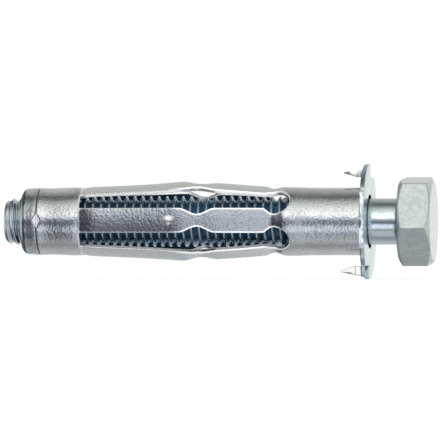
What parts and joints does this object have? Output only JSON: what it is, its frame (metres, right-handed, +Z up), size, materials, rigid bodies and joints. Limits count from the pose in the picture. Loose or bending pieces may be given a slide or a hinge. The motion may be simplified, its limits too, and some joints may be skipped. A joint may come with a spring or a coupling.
{
  "type": "hollow wall anchor",
  "caption": "Metal hollow wall anchor: slotted sleeve with bowed legs, clawed flange plate, captive nut and hexagon head screw.",
  "frame": {"origin": "on the anchor's axis at the wall's surface, where the claw plate's inner face lies", "axes": "+X along the axis out of the wall towards the screw's head, +Z up, -Y towards the front leg"},
  "size_m": [0.0662, 0.0176, 0.0176],
  "materials": {
    "sleeve_zinc": "bright zinc plate, faintly mottled",
    "plate_zinc": "bright zinc plate, smooth",
    "nut_zinc": "bright zinc plate, turned",
    "screw_zinc": "blue-white zinc plate, satin on the head"
  },
  "bodies": {
    "anchor": {"sleeve": "sleeve_zinc", "claw_plate": "plate_zinc", "nut": "nut_zinc"},
    "screw": {"screw": "screw_zinc"}
  },
  "joints": [
    {"name": "screw_drive", "type": "slide", "parent": "anchor", "child": "screw", "axis": [1, 0, 0], "range_m": [-0.0046, 0.011]}
  ]
}
